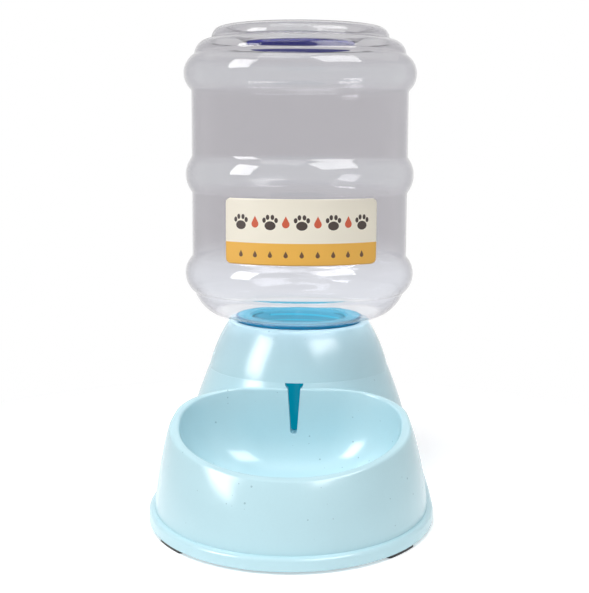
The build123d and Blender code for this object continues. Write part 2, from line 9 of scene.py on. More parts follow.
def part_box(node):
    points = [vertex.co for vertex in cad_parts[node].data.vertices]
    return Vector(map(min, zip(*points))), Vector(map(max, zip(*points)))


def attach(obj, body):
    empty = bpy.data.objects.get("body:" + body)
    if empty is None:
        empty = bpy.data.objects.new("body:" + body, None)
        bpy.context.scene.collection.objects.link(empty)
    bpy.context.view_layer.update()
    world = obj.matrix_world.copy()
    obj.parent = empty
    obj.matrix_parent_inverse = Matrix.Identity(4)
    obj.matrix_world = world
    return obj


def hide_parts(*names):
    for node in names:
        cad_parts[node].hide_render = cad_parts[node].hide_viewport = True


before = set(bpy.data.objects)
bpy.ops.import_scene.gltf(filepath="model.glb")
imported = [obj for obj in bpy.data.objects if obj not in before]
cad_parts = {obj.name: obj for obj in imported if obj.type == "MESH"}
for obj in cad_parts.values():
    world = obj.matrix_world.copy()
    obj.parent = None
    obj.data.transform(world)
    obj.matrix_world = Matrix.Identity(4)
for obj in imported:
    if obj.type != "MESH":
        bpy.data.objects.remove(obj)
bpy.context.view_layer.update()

MM = 0.001

# The bottle stands on an upright axis, whose place is the middle of the bottle part's box in model.glb
BOTTLE_LOW, BOTTLE_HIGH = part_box("bottle")
AXIS_Y = (BOTTLE_LOW.y + BOTTLE_HIGH.y) / 2

# Bottle: radius and height in millimetres along the outside of its profile, from the neck up
WALL = 1.2
NECK_RADIUS = 36.0
NECK_FOOT = 101.0
SHOULDER_Z = 123.0
SHOULDER_FLAT = 52.0
SHOULDER_MIDDLE = (69.8, 129.6)
SHOULDER_TOP = (78.8, 142.4)
BODY_RADIUS = 80.5
STEP_FOOT = (78.3, 317.6)
STEP_MIDDLE = (76.0, 323.8)
STEP_TOP = (67.0, 328.3)
CROWN_FOOT = (65.6, 328.6)
CROWN_MIDDLE = (64.0, 334.2)
CROWN_TOP = (57.5, 337.4)
CROWN_INNER = (53.2, 337.2)
RECESS_EDGE = (49.0, 335.6)
RECESS_MIDDLE = (43.5, 330.6)

# Beads of the bottle's side: lower end, widest height, upper end and widest radius of each
BEADS = [(143.6, 156.6, 169.2, 85.85), (216.6, 229.8, 242.9, 85.1), (291.4, 304.3, 317.6, 86.15)]

# Fineness of the bottle: segments round the axis, step along the profile, softness of its corners, and
# how many softnesses the average at a corner reaches
BOTTLE_SEGMENTS = 168
PROFILE_STEP = 1.2
PROFILE_SOFTNESS = 0.6
SOFT_REACH = 4

# Disc in the bottle's base: radius, top, thickness, rounding of its lower edge, and points along its
# flats and its edge
DISC_RADIUS = 40.0
DISC_TOP = 328.0
DISC_THICKNESS = 3.0
DISC_EDGE = 1.0
DISC_ROWS = 24
DISC_EDGE_ROWS = 7

# Thread on the neck: outer radius, rise in a turn, heights of the section's middle at both ends, and
# points along it
THREAD_RADIUS = 37.3
THREAD_LEAD = 6.0
THREAD_FOOT = 105.0
THREAD_TOP = 117.4
THREAD_STEPS = 400

# The thread ends at this angle, and grows from a share of its reach to all of it over the start angle,
# in degrees
THREAD_END = 222.0
THREAD_START_ANGLE = 12.0
THREAD_START_SHARE = 0.05

# Section of the thread: how deep its root is sunk, half its height, and its corners as shares of both
THREAD_ROOT = 0.5
THREAD_HALF_HEIGHT = 0.9
THREAD_SECTION = np.array([[0, -1.0], [1, -0.45], [1, 0.45], [0, 1.0]])

# Label: heights, half angle and turn to the right in degrees, rounding of its corners, gap under it,
# thickness, and rows and columns of its grid
LABEL_LOW = 169.8
LABEL_HIGH = 215.6
LABEL_HALF_ANGLE = 40.8
LABEL_TURN = 3.8
LABEL_CORNER = 4.0
LABEL_GAP = 0.05
LABEL_THICKNESS = 0.25
LABEL_ROWS = 47
LABEL_COLUMNS = 121

# Copies of CAD solids: points this close in metres are one, and edges this sharp in degrees are creases
MERGE_DISTANCE = 0.000002
CREASE_ANGLE = 32.0


def srgb(red, green, blue):
    """Linear colour with alpha, from display values of 0 to 255.

    Below 0.04045 a share is divided by 12.92, and above it is ((share + 0.055) / 1.055) ^ 2.4.
    """
    linear = []
    for value in (red, green, blue):
        share = value / 255
        linear.append(share / 12.92 if share <= 0.04045 else ((share + 0.055) / 1.055) ** 2.4)
    return (*linear, 1.0)


# Shapes


def line_points(first, last):
    """Points in even steps along a straight line, without the last one."""
    first, last = np.array(first), np.array(last)
    count = max(1, round(hypot(*(last - first)) / PROFILE_STEP))
    return first + (last - first) * np.arange(count)[:, None] / count


def arc_points(first, middle, last):
    """Points in even steps along the circle through three points, without the last one.

    The centre is equally far from all three points. Each point is the centre plus the radius times
    (cos turn, sin turn), and the turn runs from the first point's past the middle one's.
    """
    ends = np.array([first, middle, last])
    (ax, ay), (bx, by), (cx, cy) = ends
    squares = (ends**2).sum(axis=1)
    twice = 2 * (ax * (by - cy) + bx * (cy - ay) + cx * (ay - by))
    across = squares @ (by - cy, cy - ay, ay - by)
    up = squares @ (cx - bx, ax - cx, bx - ax)
    centre = np.array([across, up]) / twice
    out = ends - centre
    radius = hypot(*out[0])
    start, through, stop = np.arctan2(out[:, 1], out[:, 0])
    sweep = (stop - start) % (2 * pi)
    if (through - start) % (2 * pi) > sweep:
        sweep -= 2 * pi
    count = max(2, round(abs(sweep) * radius / PROFILE_STEP))
    turn = start + sweep * np.arange(count) / count
    return centre + radius * np.column_stack([np.cos(turn), np.sin(turn)])


def softened(points):
    """The open profile with its corners rounded, and its two ends kept.

    Each point becomes the average of the line near it, weighted by
    exp(-(distance / softness)^2 / 2), with the line mirrored through its ends.
    """
    fine_step = PROFILE_STEP / 2
    gaps = np.hypot(*np.diff(points, axis=0).T)
    along = np.concatenate([[0], np.cumsum(gaps)])
    even = np.linspace(0, along[-1], round(along[-1] / fine_step) + 1)
    fine = np.column_stack([np.interp(even, along, points[:, k]) for k in (0, 1)])
    reach = round(SOFT_REACH * PROFILE_SOFTNESS / fine_step)
    offsets = np.arange(-reach, reach + 1) * fine_step
    weights = np.exp(-0.5 * (offsets / PROFILE_SOFTNESS) ** 2)
    weights /= weights.sum()
    before = 2 * fine[0] - fine[reach:0:-1]
    after = 2 * fine[-1] - fine[-2:-reach - 2:-1]
    padded = np.concatenate([before, fine, after])
    smooth = np.column_stack([np.convolve(padded[:, k], weights, "valid") for k in (0, 1)])
    smooth[[0, -1]] = fine[[0, -1]]
    return smooth[::2]


def inset(points, distance):
    """The profile moved to its left by a distance, square to its own direction at each point."""
    ahead = np.gradient(points, axis=0)
    ahead /= np.hypot(*ahead.T)[:, None]
    return points + distance * np.column_stack([-ahead[:, 1], ahead[:, 0]])


def about_axis(radius, turn, height):
    """Points round the bottle's axis in metres, from millimetres and radians.

    x = radius sin turn, y = AXIS_Y - radius cos turn, and z = height, so that a turn of 0 is the front.
    """
    radius, turn, height = np.broadcast_arrays(radius, turn, height)
    points = np.stack([radius * np.sin(turn), AXIS_Y / MM - radius * np.cos(turn), height], axis=-1)
    return points.reshape(-1, 3) * MM


def grid_quads(rows, columns, closed_rows=False, closed_columns=False):
    """Quads over a grid of points stored row by row: corners (i, j), (i, j+1), (i+1, j+1), (i+1, j)."""
    row = np.arange(rows if closed_rows else rows - 1)[:, None]
    column = np.arange(columns if closed_columns else columns - 1)[None, :]
    here = row * columns
    above = (row + 1) % rows * columns
    right = (column + 1) % columns
    return np.stack([here + column, here + right, above + right, above + column], axis=-1).reshape(-1, 4)


def add_piece(name, points, quads, material, triangles=(), smooth=True):
    """Mesh from points and faces, with its object at the origin."""
    mesh = bpy.data.meshes.new(name)
    faces = [*np.asarray(quads).tolist(), *np.asarray(triangles).tolist()]
    mesh.from_pydata(np.asarray(points).tolist(), [], faces)
    mesh.polygons.foreach_set("use_smooth", np.full(len(faces), smooth))
    mesh.materials.append(material)
    piece = bpy.data.objects.new(name, mesh)
    bpy.context.scene.collection.objects.link(piece)
    return piece


def revolved(name, profile, material):
    """Closed surface of revolution: the profile turned about the bottle's axis.

    The profile holds radii and heights in millimetres and runs anticlockwise in their plane. It
    starts and ends on the axis, where a fan closes each pole, or it closes on itself.
    """
    poles = not profile[[0, -1], 0].any()
    ring = profile[1:-1] if poles else profile
    turns = np.linspace(0, 2 * pi, BOTTLE_SEGMENTS, endpoint=False)
    points = about_axis(ring[:, :1], turns, ring[:, 1:])
    quads = grid_quads(len(ring), BOTTLE_SEGMENTS, closed_rows=not poles, closed_columns=True)
    if not poles:
        return add_piece(name, points, quads, material)
    low_pole = np.full(BOTTLE_SEGMENTS, len(points))
    points = np.vstack([points, about_axis(0.0, 0.0, profile[[0, -1], 1])])
    column = np.arange(BOTTLE_SEGMENTS)
    right = (column + 1) % BOTTLE_SEGMENTS
    last_row = (len(ring) - 1) * BOTTLE_SEGMENTS
    low_fan = np.stack([low_pole, right, column], axis=-1)
    high_fan = np.stack([last_row + column, last_row + right, low_pole + 1], axis=-1)
    return add_piece(name, points, quads, material, np.vstack([low_fan, high_fan]))


def bottle_outside():
    """Outer profile of the bottle in lines and arcs: neck, flat, shoulder, side, crown and recess."""
    parts = [
        line_points((NECK_RADIUS, NECK_FOOT), (NECK_RADIUS, SHOULDER_Z)),
        line_points((NECK_RADIUS, SHOULDER_Z), (SHOULDER_FLAT, SHOULDER_Z)),
        arc_points((SHOULDER_FLAT, SHOULDER_Z), SHOULDER_MIDDLE, SHOULDER_TOP),
    ]
    last = SHOULDER_TOP
    for low, widest, high, radius in BEADS:
        parts.append(line_points(last, (BODY_RADIUS, low)))
        last = STEP_FOOT if high == STEP_FOOT[1] else (BODY_RADIUS, high)
        parts.append(arc_points((BODY_RADIUS, low), (radius, widest), last))
    parts += [
        arc_points(STEP_FOOT, STEP_MIDDLE, STEP_TOP),
        line_points(STEP_TOP, CROWN_FOOT),
        arc_points(CROWN_FOOT, CROWN_MIDDLE, CROWN_TOP),
        arc_points(CROWN_TOP, CROWN_INNER, RECESS_EDGE),
        arc_points(RECESS_EDGE, RECESS_MIDDLE, (DISC_RADIUS, DISC_TOP)),
        [(DISC_RADIUS, DISC_TOP)],
    ]
    return np.concatenate(parts)


def make_bottle(material):
    """Clear bottle as one closed skin: the softened outside, and the same moved in by the wall.

    Its two openings are the foot of the neck and the rim of the base disc.
    """
    outside = softened(bottle_outside())
    inside = inset(outside, WALL)
    inside[0] = (NECK_RADIUS - WALL, NECK_FOOT)
    inside[-1] = (DISC_RADIUS, DISC_TOP - WALL)
    return revolved("bottle_clear", np.concatenate([inside[::-1], outside]), material)


def make_thread(material):
    """Thread ridge on the neck: a four-cornered section that turns about the axis and rises.

    With the turn t, which is 0 at the upper end, the section's middle is at the height
    THREAD_TOP + lead t / 2 pi. Its reach grows evenly over the start angle. Both ends are closed.
    """
    whole = 2 * pi * (THREAD_TOP - THREAD_FOOT) / THREAD_LEAD
    turn = np.linspace(-whole, 0, THREAD_STEPS)[:, None]
    grown = np.clip((turn + whole) / radians(THREAD_START_ANGLE), THREAD_START_SHARE, 1)
    root = NECK_RADIUS - THREAD_ROOT
    radius = root + (THREAD_RADIUS - root) * grown * THREAD_SECTION[:, 0]
    height = THREAD_TOP + THREAD_LEAD * turn / (2 * pi) + THREAD_HALF_HEIGHT * THREAD_SECTION[:, 1]
    points = about_axis(radius, turn + radians(THREAD_END), height)
    count = len(THREAD_SECTION)
    sides = grid_quads(THREAD_STEPS, count, closed_columns=True)[:, ::-1]
    start = np.arange(count)
    end = (THREAD_STEPS - 1) * count + start[::-1]
    return add_piece("neck_thread", points, np.vstack([sides, start, end]), material, smooth=False)


def make_disc(material):
    """Thick disc in the bottle's base: a profile turned about the axis.

    It runs out along the underside, round a quarter circle at the edge, and in along the top.
    """
    low = DISC_TOP - DISC_THICKNESS
    edge = DISC_RADIUS - DISC_EDGE
    turns = np.radians(np.linspace(-90, 0, DISC_EDGE_ROWS))
    corner = np.column_stack([edge + DISC_EDGE * np.cos(turns), low + DISC_EDGE * (1 + np.sin(turns))])
    underside = np.column_stack([np.linspace(0, edge, DISC_ROWS), np.full(DISC_ROWS, low)])[:-1]
    top = np.column_stack([np.linspace(DISC_RADIUS, 0, DISC_ROWS), np.full(DISC_ROWS, DISC_TOP)])
    return revolved("bottle_base_disc", np.concatenate([underside, corner, top]), material)


def make_label(material):
    """Label bent round the bottle: a point's turn is its distance across / the body's radius.

    Each row is cut in at the rounded corners by corner - sqrt(corner^2 - into^2), where into is how
    far the row is within the corner. The label's own map holds millimetres.
    """
    up = np.linspace(LABEL_LOW, LABEL_HIGH, LABEL_ROWS)[:, None]
    into = LABEL_CORNER - np.minimum(np.minimum(up - LABEL_LOW, LABEL_HIGH - up), LABEL_CORNER)
    cut = LABEL_CORNER - np.sqrt(LABEL_CORNER**2 - into**2)
    half = BODY_RADIUS * radians(LABEL_HALF_ANGLE) - cut
    across = np.linspace(-1, 1, LABEL_COLUMNS)[None, :] * half
    turn = across / BODY_RADIUS + radians(LABEL_TURN)
    back = BODY_RADIUS + LABEL_GAP
    points = np.vstack([about_axis(radius, turn, up) for radius in (back, back + LABEL_THICKNESS)])
    count = across.size
    face = grid_quads(LABEL_ROWS, LABEL_COLUMNS)
    number = np.arange(count).reshape(LABEL_ROWS, LABEL_COLUMNS)
    rim = np.concatenate([number[0], number[1:, -1], number[-1, -2::-1], number[-2:0:-1, 0]])
    ahead = np.roll(rim, -1)
    side = np.stack([rim, ahead, ahead + count, rim + count], axis=-1)
    piece = add_piece("label_print", points, np.vstack([face + count, face[:, ::-1], side]), material)
    flat = np.stack([across, np.broadcast_to(up - LABEL_LOW, across.shape)], axis=-1).reshape(-1, 2)
    corners = np.empty(len(piece.data.loops), dtype=int)
    piece.data.loops.foreach_get("vertex_index", corners)
    layer = piece.data.uv_layers.new(name="print")
    layer.data.foreach_set("uv", flat[corners % count].astype(np.float32).ravel())
    return piece


def smooth_copy(node, name, material):
    """Copy of a CAD node with its triangles merged, smooth but for its creases."""
    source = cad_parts[node]
    mesh = source.data.copy()
    mesh.name = name
    builder = bmesh.new()
    builder.from_mesh(mesh)
    bmesh.ops.remove_doubles(builder, verts=builder.verts, dist=MERGE_DISTANCE)
    bmesh.ops.dissolve_degenerate(builder, edges=builder.edges, dist=MERGE_DISTANCE)
    builder.to_mesh(mesh)
    builder.free()
    if "custom_normal" in mesh.attributes:
        mesh.attributes.remove(mesh.attributes["custom_normal"])
    mesh.polygons.foreach_set("use_smooth", np.full(len(mesh.polygons), True))
    mesh.polygons.foreach_set("material_index", np.zeros(len(mesh.polygons), dtype=np.int32))
    mesh.set_sharp_from_angle(angle=radians(CREASE_ANGLE))
    mesh.materials.clear()
    mesh.materials.append(material)
    piece = bpy.data.objects.new(name, mesh)
    bpy.context.scene.collection.objects.link(piece)
    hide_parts(node)
    return piece


# Materials

WHITE = (1, 1, 1, 1)

# Moulded skin: scales of its broad and fine noise, share of the broad one, unevenness of its gloss,
# and strength of its relief
BROAD_SCALE = 26.0
FINE_SCALE = 620.0
BROAD_SHARE = 0.6
UNEVEN_GLOSS = 0.08
SKIN_STRENGTH = 0.3

# Pale plastic and its flecks: scale of their cells, size and rarity within them, and depth
PALE_BLUE = srgb(186, 220, 229)
FLECK_BLUE = srgb(96, 140, 155)
FLECK_SCALE = 260.0
FLECK_SIZE = 0.19
FLECK_RARE = 0.84
FLECK_DEPTH = 0.45

# Blue cap: its colour and the painted light it gives off for the light that comes through it, lower
# down, on the flange, which is painted lit, and at the flange's edge, which is painted shade
CAP_DEEP_BLUE = srgb(16, 118, 158)
CAP_DEEP_PAINTED_GLOW = (0.0, 0.19, 0.26, 1)
CAP_PAINTED_LIT_BLUE = srgb(65, 115, 129)
CAP_PAINTED_LIT_GLOW = (0.095, 0.39, 0.54, 1)
CAP_EDGE_PAINTED_SHADE = srgb(6, 92, 130)
CAP_EDGE_PAINTED_SHADE_GLOW = (0.0, 0.05, 0.09, 1)

# The cap's painted light on the flange sets in between two heights, and the painted shade at the
# flange's edge between two radii, in metres. The coat is on all that isn't painted lit
CAP_PAINTED_LIGHT_HEIGHTS = (0.094, 0.106)
CAP_PAINTED_SHADE_RADII = (0.0462, 0.0470)
CAP_COAT = 0.6
CAP_COAT_ROUGHNESS = 0.2

# Thread: the colour of the cap behind it, and the painted light it gives off, which stands in for the
# light that comes through
THREAD_BLUE = srgb(60, 160, 185)
THREAD_PAINTED_GLOW = (0.05, 0.34, 0.43, 1)

# Clear plastic: tints of the shoulder, the side and the crown, painted light on its two upper beads, and
# painted shade on a wall on the slant
SHOULDER_TINT = (0.85, 0.86, 0.89, 1)
SIDE_TINT = (0.675, 0.665, 0.685, 1)
BEAD_PAINTED_LIGHT = (0.74, 0.74, 0.76, 1)
CROWN_TINT = (0.74, 0.735, 0.75, 1)
SLANT_PAINTED_SHADE = (0.42, 0.41, 0.45, 1)

# The side's tint sets in between two heights in metres, a bead's painted light fades out between two
# shares of its height away from its widest place, and the slant's painted shade between two values of
# Facing
SIDE_HEIGHTS = (0.150, 0.185)
BEAD_SHARES = (0.25, 0.625)
SLANT_FACING = (0.5, 0.95)

# The flat round the neck lies on the cap, and the skin is nearly see-through there: heights in metres
# between which it fades out and in again, and the share of it that is left
FLAT_FOOT = (0.1190, 0.1215)
FLAT_TOP = (0.1250, 0.1270)
FLAT_SHARE = 0.1

# Clear plastic's refraction, haze and ripple, with the ripple's depth in metres
REFRACTION = 1.30
HAZE_SCALE = 14.0
HAZE_LEAST = 0.005
HAZE_MORE = 0.03
RIPPLE_SCALE = 22.0
RIPPLE_STRENGTH = 0.25
RIPPLE_DEPTH = 0.0006

# Disc, printed film and spring steel: two tones that noise moves between, the least roughness, what
# the noise adds to it, and the noise's scale
DISC_TONES = ((0.022, 0.022, 0.20, 1), (0.040, 0.040, 0.28, 1))
DISC_ROUGHNESS = 0.12
DISC_UNEVEN = 0.1
DISC_NOISE_SCALE = 30.0
FILM_ROUGHNESS = 0.3
FILM_UNEVEN = 0.1
FILM_GRAIN_SCALE = 900.0
STEEL_TONES = ((0.52, 0.52, 0.53, 1), (0.66, 0.66, 0.67, 1))
STEEL_ROUGHNESS = 0.2
STEEL_UNEVEN = 0.15
STEEL_GRAIN_SCALE = 800.0

# Label print, in millimetres: top of the band, and half the width that holds paws and drops
BAND_TOP = 15.3
PRINT_HALF_WIDTH = 50.0
CREAM = srgb(246, 238, 221)
BAND_ORANGE = srgb(240, 182, 78)

# Paw print, in shares of its size: heel's middle below the paw's and half its width and height, turns
# of the toes in degrees, spread of their middles from a point below the paw's, and half their size
HEEL_DOWN = 0.30
HEEL_HALF = (0.46, 0.36)
TOE_TURNS = (-54, -19, 19, 54)
TOE_SPREAD = (0.62, 0.66)
TOE_DOWN = 0.25
TOE_HALF = (0.15, 0.21)

# Drop, in shares of its radius: height at which its point starts, half width there, and its narrowing
POINT_FOOT = 0.35
POINT_HALF = 0.94
POINT_NARROWING = 0.52


class Graph:
    """Short way to add nodes to a tree and link them."""

    def __init__(self, tree):
        self.tree = tree

    def give(self, socket, value):
        """Link an output to a socket, or set the socket's own value."""
        if isinstance(value, bpy.types.NodeSocket):
            self.tree.links.new(value, socket)
        else:
            socket.default_value = value

    def fill(self, made, inputs):
        """Give each named input of a node its value."""
        for key, value in inputs.items():
            self.give(made.inputs[key], value)

    def node(self, kind, inputs=None, **settings):
        """A new node, with its settings made before its inputs are filled."""
        made = self.tree.nodes.new(kind)
        for key, value in settings.items():
            setattr(made, key, value)
        self.fill(made, inputs or {})
        return made

    def math(self, operation, first, second=0.0, clamp=False):
        """Result of one operation on two values."""
        made = self.node("ShaderNodeMath", {0: first, 1: second}, operation=operation, use_clamp=clamp)
        return made.outputs[0]

    def scaled(self, value, factor, start=0.0):
        """start + factor x value."""
        return self.math("ADD", self.math("MULTIPLY", value, factor), start)

    def rest(self, value):
        """1 - value."""
        return self.math("SUBTRACT", 1.0, value)

    def squares(self, x, y):
        """x^2 + y^2."""
        return self.math("ADD", self.math("MULTIPLY", x, x), self.math("MULTIPLY", y, y))

    def ramp(self, value, low, high):
        """0 below low and 1 above high, with 3 t^2 - 2 t^3 between."""
        inputs = {"Value": value, "From Min": low, "From Max": high}
        return self.node("ShaderNodeMapRange", inputs, interpolation_type="SMOOTHSTEP").outputs["Result"]

    def mix(self, share, first, second):
        """Colour between the first one, at a share of 0, and the second one, at 1."""
        made = self.node("ShaderNodeMix", data_type="RGBA")
        sockets = {socket.name: socket for socket in made.inputs if socket.enabled}
        for key, value in (("Factor", share), ("A", first), ("B", second)):
            self.give(sockets[key], value)
        return next(socket for socket in made.outputs if socket.enabled)

    def place(self):
        """The surface's own coordinates, in metres."""
        return self.node("ShaderNodeTexCoord").outputs["Object"]

    def parts(self, vector):
        """Outputs X, Y and Z of a vector."""
        return self.node("ShaderNodeSeparateXYZ", {0: vector}).outputs

    def height(self):
        """Height above the ground, in metres."""
        return self.parts(self.place())["Z"]

    def radius(self):
        """Distance from the bottle's axis: sqrt(x^2 + (y - AXIS_Y)^2)."""
        place = self.parts(self.place())
        return self.math("SQRT", self.squares(place["X"], self.math("SUBTRACT", place["Y"], AXIS_Y)))

    def noise(self, scale, detail=2.0, roughness=0.5):
        """Noise from 0 to 1 on the surface's own coordinates."""
        inputs = {"Vector": self.place(), "Scale": scale, "Detail": detail, "Roughness": roughness}
        return self.node("ShaderNodeTexNoise", inputs).outputs["Fac"]

    def surface(self, share, first, second, output="Material Output"):
        """Show the first shader at a share of 0, and the second one at 1."""
        mixed = self.node("ShaderNodeMixShader", {0: share, 1: first.outputs[0], 2: second.outputs[0]})
        self.give(self.tree.nodes[output].inputs["Surface"], mixed.outputs[0])


def new_material(name):
    """A material, its graph and its shader."""
    material = bpy.data.materials.new(name)
    material.use_nodes = True
    return material, Graph(material.node_tree), material.node_tree.nodes["Principled BSDF"]


def make_mould_group():
    """Moulded plastic or rubber: a faint cloud in its colour, uneven gloss, and a fine skin.

    With the noises' values from 0 to 1, the colour is multiplied by 1 + Cloud (share broad +
    (1 - share) fine - 0.5), the roughness moves by its unevenness x (broad - 0.5), and the height
    is the fine noise.
    """
    group = bpy.data.node_groups.new("moulded_skin", "ShaderNodeTree")
    sockets = [
        ("Color", "INPUT", "NodeSocketColor"),
        ("Cloud", "INPUT", "NodeSocketFloat"),
        ("Roughness", "INPUT", "NodeSocketFloat"),
        ("Color", "OUTPUT", "NodeSocketColor"),
        ("Roughness", "OUTPUT", "NodeSocketFloat"),
        ("Height", "OUTPUT", "NodeSocketFloat"),
    ]
    for name, side, kind in sockets:
        group.interface.new_socket(name, in_out=side, socket_type=kind)
    graph = Graph(group)
    given = graph.node("NodeGroupInput").outputs
    broad = graph.noise(BROAD_SCALE, detail=3.0)
    fine = graph.noise(FINE_SCALE, roughness=0.6)
    cloud = graph.scaled(broad, BROAD_SHARE, graph.math("MULTIPLY", fine, 1 - BROAD_SHARE))
    light = graph.scaled(graph.math("SUBTRACT", cloud, 0.5), given["Cloud"], 1.0)
    tinted = graph.node("ShaderNodeVectorMath", {0: given["Color"], "Scale": light}, operation="SCALE")
    wear = graph.math("SUBTRACT", broad, 0.5)
    graph.node("NodeGroupOutput", {
        "Color": tinted.outputs["Vector"],
        "Roughness": graph.scaled(wear, UNEVEN_GLOSS, given["Roughness"]),
        "Height": fine,
    })
    return group


MOULD_GROUP = make_mould_group()


def give_skin(graph, shader, color, cloud, roughness, depth):
    """Give a shader the moulded skin, with the depth of its relief in metres."""
    inputs = {"Color": color, "Cloud": cloud, "Roughness": roughness}
    skin = graph.node("ShaderNodeGroup", inputs, node_tree=MOULD_GROUP).outputs
    inputs = {"Strength": SKIN_STRENGTH, "Distance": depth, "Height": skin["Height"]}
    relief = graph.node("ShaderNodeBump", inputs).outputs["Normal"]
    graph.fill(shader, {"Base Color": skin["Color"], "Roughness": skin["Roughness"], "Normal": relief})


def moulded(name, color, cloud, roughness, depth, painted_glow=None):
    """Plain moulded plastic or rubber. One given painted light, for light that comes through it, also
    glows.
    """
    material, graph, shader = new_material(name)
    give_skin(graph, shader, color, cloud, roughness, depth)
    if painted_glow:
        graph.fill(shader, {"Emission Color": painted_glow, "Emission Strength": 1.0})
    return material


def make_pale_plastic():
    """Pale blue plastic with sparse small flecks, as where it is filled with plant fibre.

    A cell of the pattern has a fleck where its first random value is over FLECK_RARE, and the
    fleck's radius is FLECK_SIZE x its second one.
    """
    material, graph, shader = new_material("pale_plastic_look")
    inputs = {"Vector": graph.place(), "Scale": FLECK_SCALE, "Randomness": 1.0}
    cells = graph.node("ShaderNodeTexVoronoi", inputs).outputs
    chosen = graph.node("ShaderNodeSeparateColor", {"Color": cells["Color"]}).outputs
    near = graph.math("LESS_THAN", cells["Distance"], graph.math("MULTIPLY", chosen[1], FLECK_SIZE))
    rare = graph.math("GREATER_THAN", chosen[0], FLECK_RARE)
    fleck = graph.math("MULTIPLY", graph.math("MULTIPLY", near, rare), FLECK_DEPTH)
    color = graph.mix(fleck, PALE_BLUE, FLECK_BLUE)
    give_skin(graph, shader, color, cloud=0.08, roughness=0.20, depth=0.00003)
    return material


def make_cap_plastic():
    """Blue plastic that gives off painted light for the light that comes through it.

    It is painted lit on the flange, paler and glowing more, deep lower down, and painted shade at the
    flange's edge, darker and glowing less. It has a coat, which fades out where it is painted lit.
    """
    material, graph, shader = new_material("cap_plastic_look")
    # Painted light and shade: the flange is paler and glows more, the flange's edge is darker and glows
    # less, and all of the cap gives off painted light for light that comes through
    inside = graph.rest(graph.ramp(graph.radius(), *CAP_PAINTED_SHADE_RADII))
    painted_lit = graph.math("MULTIPLY", graph.ramp(graph.height(), *CAP_PAINTED_LIGHT_HEIGHTS), inside)
    color = graph.mix(inside, CAP_EDGE_PAINTED_SHADE, graph.mix(painted_lit, CAP_DEEP_BLUE, CAP_PAINTED_LIT_BLUE))
    give_skin(graph, shader, color, cloud=0.12, roughness=0.22, depth=0.00002)
    graph.fill(shader, {
        "Emission Color": graph.mix(inside, CAP_EDGE_PAINTED_SHADE_GLOW, graph.mix(painted_lit, CAP_DEEP_PAINTED_GLOW, CAP_PAINTED_LIT_GLOW)),
        "Emission Strength": 1.0,
        "Coat Weight": graph.math("MULTIPLY", graph.rest(painted_lit), CAP_COAT),
        "Coat Roughness": CAP_COAT_ROUGHNESS,
        "Specular IOR Level": 0.0,
    })
    return material


def make_clear_plastic():
    """Clear plastic whose colour changes with height, with painted shade where the wall is on the slant.

    Each upper bead has painted light, palest at its widest place. The flat round the neck is nearly
    see-through, so that the cap's flange shows, and the whole bottle lets light through into its own
    shadow.
    """
    material, graph, shader = new_material("clear_plastic_look")
    height = graph.height()
    tint_and_painted_light = graph.mix(graph.ramp(height, *SIDE_HEIGHTS), SHOULDER_TINT, SIDE_TINT)
    # Painted light: the two upper beads are paler about their widest place
    for low, widest, high, _ in BEADS[1:]:
        away = graph.math("ABSOLUTE", graph.math("SUBTRACT", height, widest * MM))
        beyond = graph.ramp(away, *[share * (high - low) * MM for share in BEAD_SHARES])
        tint_and_painted_light = graph.mix(beyond, BEAD_PAINTED_LIGHT, tint_and_painted_light)
    tint_and_painted_light = graph.mix(graph.ramp(height, STEP_FOOT[1] * MM, STEP_MIDDLE[1] * MM), tint_and_painted_light, CROWN_TINT)
    # Painted shade: the wall is darker on the slant, for the darker surroundings it reflects there
    facing = graph.node("ShaderNodeLayerWeight", {"Blend": 0.5}).outputs["Facing"]
    tint_and_painted_light = graph.mix(graph.ramp(facing, *SLANT_FACING), tint_and_painted_light, SLANT_PAINTED_SHADE)
    below = graph.rest(graph.ramp(height, *FLAT_FOOT))
    off_flat = graph.math("MAXIMUM", graph.ramp(height, *FLAT_TOP), below)
    ripple = graph.noise(RIPPLE_SCALE, detail=1.0)
    inputs = {"Strength": RIPPLE_STRENGTH, "Distance": RIPPLE_DEPTH, "Height": ripple}
    relief = graph.node("ShaderNodeBump", inputs).outputs["Normal"]
    graph.fill(shader, {
        "Base Color": tint_and_painted_light,
        "Roughness": graph.scaled(graph.noise(HAZE_SCALE, detail=3.0), HAZE_MORE, HAZE_LEAST),
        "Normal": relief,
        "Alpha": graph.math("MAXIMUM", off_flat, FLAT_SHARE),
        "Transmission Weight": 1.0,
        "IOR": REFRACTION,
    })
    through = graph.node("ShaderNodeBsdfTransparent", {"Color": tint_and_painted_light})
    graph.surface(graph.node("ShaderNodeLightPath").outputs["Is Shadow Ray"], shader, through)
    return material


def make_disc_blue():
    """Deep blue of the thick disc in the bottle's base, a little uneven and with no gloss of its own."""
    material, graph, shader = new_material("deep_blue_look")
    cloud = graph.noise(DISC_NOISE_SCALE)
    graph.fill(shader, {
        "Base Color": graph.mix(cloud, *DISC_TONES),
        "Roughness": graph.scaled(cloud, DISC_UNEVEN, DISC_ROUGHNESS),
        "Specular IOR Level": 0.0,
    })
    return material


def make_steel():
    """Drawn steel of the valve's spring, with a fine grain in its tone and its gloss."""
    material, graph, shader = new_material("spring_steel_look")
    grain = graph.noise(STEEL_GRAIN_SCALE, detail=3.0)
    graph.fill(shader, {
        "Base Color": graph.mix(grain, *STEEL_TONES),
        "Roughness": graph.scaled(grain, STEEL_UNEVEN, STEEL_ROUGHNESS),
        "Metallic": 1.0,
    })
    return material


